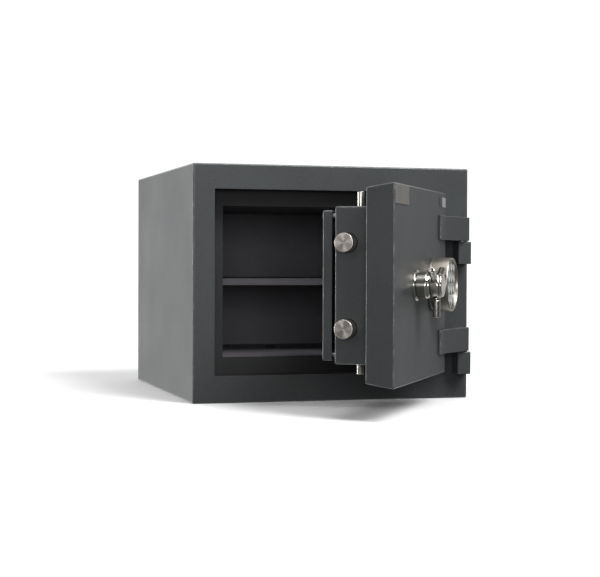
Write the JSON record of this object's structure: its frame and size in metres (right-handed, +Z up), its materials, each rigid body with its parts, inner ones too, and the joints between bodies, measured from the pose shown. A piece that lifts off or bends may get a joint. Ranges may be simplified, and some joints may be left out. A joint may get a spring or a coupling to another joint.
{
  "type": "safe",
  "caption": "Compact thick-walled safe on the floor: stepped door on external hinges, round live bolts, spoked handle, round keypad, shelf inside.",
  "frame": {"origin": "centre of the body's base, on the surface that the safe stands on", "axes": "+Z up, +Y from the doorway to the back wall, +X towards the hinge side"},
  "size_m": [0.521, 0.9345, 0.425],
  "materials": {
    "body_paint": "charcoal fine-textured satin powder coat",
    "inner_paint": "dark satin coat",
    "barrier": "cast aggregate, raw",
    "bolt_steel": "turned bright steel",
    "badge_metal": "fine brushed, blank",
    "handle_chrome": "polished",
    "keypad_nickel": "satin nickel",
    "key_plastic": "semi-gloss",
    "zinc_plate": "dull zinc plate",
    "plug_rubber": "matt"
  },
  "bodies": {
    "cabinet": {"outer_shell": "body_paint", "door_frame": "body_paint", "inner_liner": "inner_paint", "barrier_fill": "barrier", "bolt_keeper_upper": "zinc_plate", "bolt_keeper_lower": "zinc_plate", "rod_keeper_top": "zinc_plate", "rod_keeper_bottom": "zinc_plate", "anchor_plug": "plug_rubber", "shelf": "inner_paint", "shelf_rail_left": "zinc_plate", "shelf_rail_right": "zinc_plate", "hinge_block_lower": "body_paint", "hinge_block_upper": "body_paint", "hinge_pin_lower": "bolt_steel", "hinge_pin_upper": "bolt_steel", "thrust_washer_lower": "zinc_plate", "thrust_washer_upper": "zinc_plate"},
    "door": {"door_pan": "body_paint", "door_fill": "barrier", "door_back_plate": "body_paint", "bolt_case": "body_paint", "back_cover": "body_paint", "cover_standoff_1": "zinc_plate", "cover_standoff_2": "zinc_plate", "cover_standoff_3": "zinc_plate", "cover_standoff_4": "zinc_plate", "hinge_leaf_lower": "body_paint", "hinge_leaf_upper": "body_paint", "badge_plate": "badge_metal", "hardplate": "zinc_plate", "lock_body": "zinc_plate", "handle_rose": "handle_chrome", "keypad_housing": "keypad_nickel"},
    "handle": {"handle_hub": "handle_chrome", "handle_cap": "handle_chrome", "handle_spoke_1": "handle_chrome", "handle_spoke_2": "handle_chrome", "handle_spoke_3": "handle_chrome", "spindle": "zinc_plate", "drive_cam": "zinc_plate"},
    "carriage": {"carriage_plate": "zinc_plate", "side_bolt_lower": "bolt_steel", "side_bolt_upper": "bolt_steel"},
    "top_bolt": {"top_rod": "bolt_steel"},
    "bottom_bolt": {"bottom_rod": "bolt_steel"},
    "lock_tongue": {"lock_bolt": "bolt_steel"},
    "key_1": {"key_1": "key_plastic"},
    "key_2": {"key_2": "key_plastic"},
    "key_3": {"key_3": "key_plastic"},
    "key_4": {"key_4": "key_plastic"},
    "key_5": {"key_5": "key_plastic"},
    "key_6": {"key_6": "key_plastic"},
    "key_7": {"key_7": "key_plastic"},
    "key_8": {"key_8": "key_plastic"},
    "key_9": {"key_9": "key_plastic"},
    "key_10": {"key_10": "key_plastic"},
    "key_11": {"key_11": "key_plastic"},
    "key_12": {"key_12": "key_plastic"}
  },
  "joints": [
    {"name": "door_swing", "type": "hinge", "parent": "cabinet", "child": "door", "pos_m": [0.2435, -0.2875, 0], "axis": [0, 0, 1], "range_deg": [-56, 119]},
    {"name": "handle_turn", "type": "hinge", "parent": "door", "child": "handle", "pos_m": [0.05854, -0.53667, 0.213], "axis": [-0.829, 0.5592, 0], "range_deg": [0, 70]},
    {"name": "side_bolts_slide", "type": "slide", "parent": "door", "child": "carriage", "axis": [0.5592, 0.829, 0], "range_m": [0, 0.024]},
    {"name": "top_bolt_slide", "type": "slide", "parent": "door", "child": "top_bolt", "axis": [0, 0, -1], "range_m": [0, 0.024]},
    {"name": "bottom_bolt_slide", "type": "slide", "parent": "door", "child": "bottom_bolt", "axis": [0, 0, 1], "range_m": [0, 0.024]},
    {"name": "lock_bolt_slide", "type": "slide", "parent": "door", "child": "lock_tongue", "axis": [0, 0, 1], "range_m": [-0.012, 0]},
    {"name": "key_1_press", "type": "slide", "parent": "door", "child": "key_1", "axis": [-0.829, 0.5592, 0], "range_m": [0, 0.0013], "stiffness_N_per_m": 400},
    {"name": "key_2_press", "type": "slide", "parent": "door", "child": "key_2", "axis": [-0.829, 0.5592, 0], "range_m": [0, 0.0013], "stiffness_N_per_m": 400},
    {"name": "key_3_press", "type": "slide", "parent": "door", "child": "key_3", "axis": [-0.829, 0.5592, 0], "range_m": [0, 0.0013], "stiffness_N_per_m": 400},
    {"name": "key_4_press", "type": "slide", "parent": "door", "child": "key_4", "axis": [-0.829, 0.5592, 0], "range_m": [0, 0.0013], "stiffness_N_per_m": 400},
    {"name": "key_5_press", "type": "slide", "parent": "door", "child": "key_5", "axis": [-0.829, 0.5592, 0], "range_m": [0, 0.0013], "stiffness_N_per_m": 400},
    {"name": "key_6_press", "type": "slide", "parent": "door", "child": "key_6", "axis": [-0.829, 0.5592, 0], "range_m": [0, 0.0013], "stiffness_N_per_m": 400},
    {"name": "key_7_press", "type": "slide", "parent": "door", "child": "key_7", "axis": [-0.829, 0.5592, 0], "range_m": [0, 0.0013], "stiffness_N_per_m": 400},
    {"name": "key_8_press", "type": "slide", "parent": "door", "child": "key_8", "axis": [-0.829, 0.5592, 0], "range_m": [0, 0.0013], "stiffness_N_per_m": 400},
    {"name": "key_9_press", "type": "slide", "parent": "door", "child": "key_9", "axis": [-0.829, 0.5592, 0], "range_m": [0, 0.0013], "stiffness_N_per_m": 400},
    {"name": "key_10_press", "type": "slide", "parent": "door", "child": "key_10", "axis": [-0.829, 0.5592, 0], "range_m": [0, 0.0013], "stiffness_N_per_m": 400},
    {"name": "key_11_press", "type": "slide", "parent": "door", "child": "key_11", "axis": [-0.829, 0.5592, 0], "range_m": [0, 0.0013], "stiffness_N_per_m": 400},
    {"name": "key_12_press", "type": "slide", "parent": "door", "child": "key_12", "axis": [-0.829, 0.5592, 0], "range_m": [0, 0.0013], "stiffness_N_per_m": 400}
  ],
  "couplings": [
    {"joint": "side_bolts_slide", "follows": "handle_turn", "m_per_rad": 0.01964},
    {"joint": "top_bolt_slide", "follows": "handle_turn", "m_per_rad": 0.01964},
    {"joint": "bottom_bolt_slide", "follows": "handle_turn", "m_per_rad": 0.01964}
  ]
}
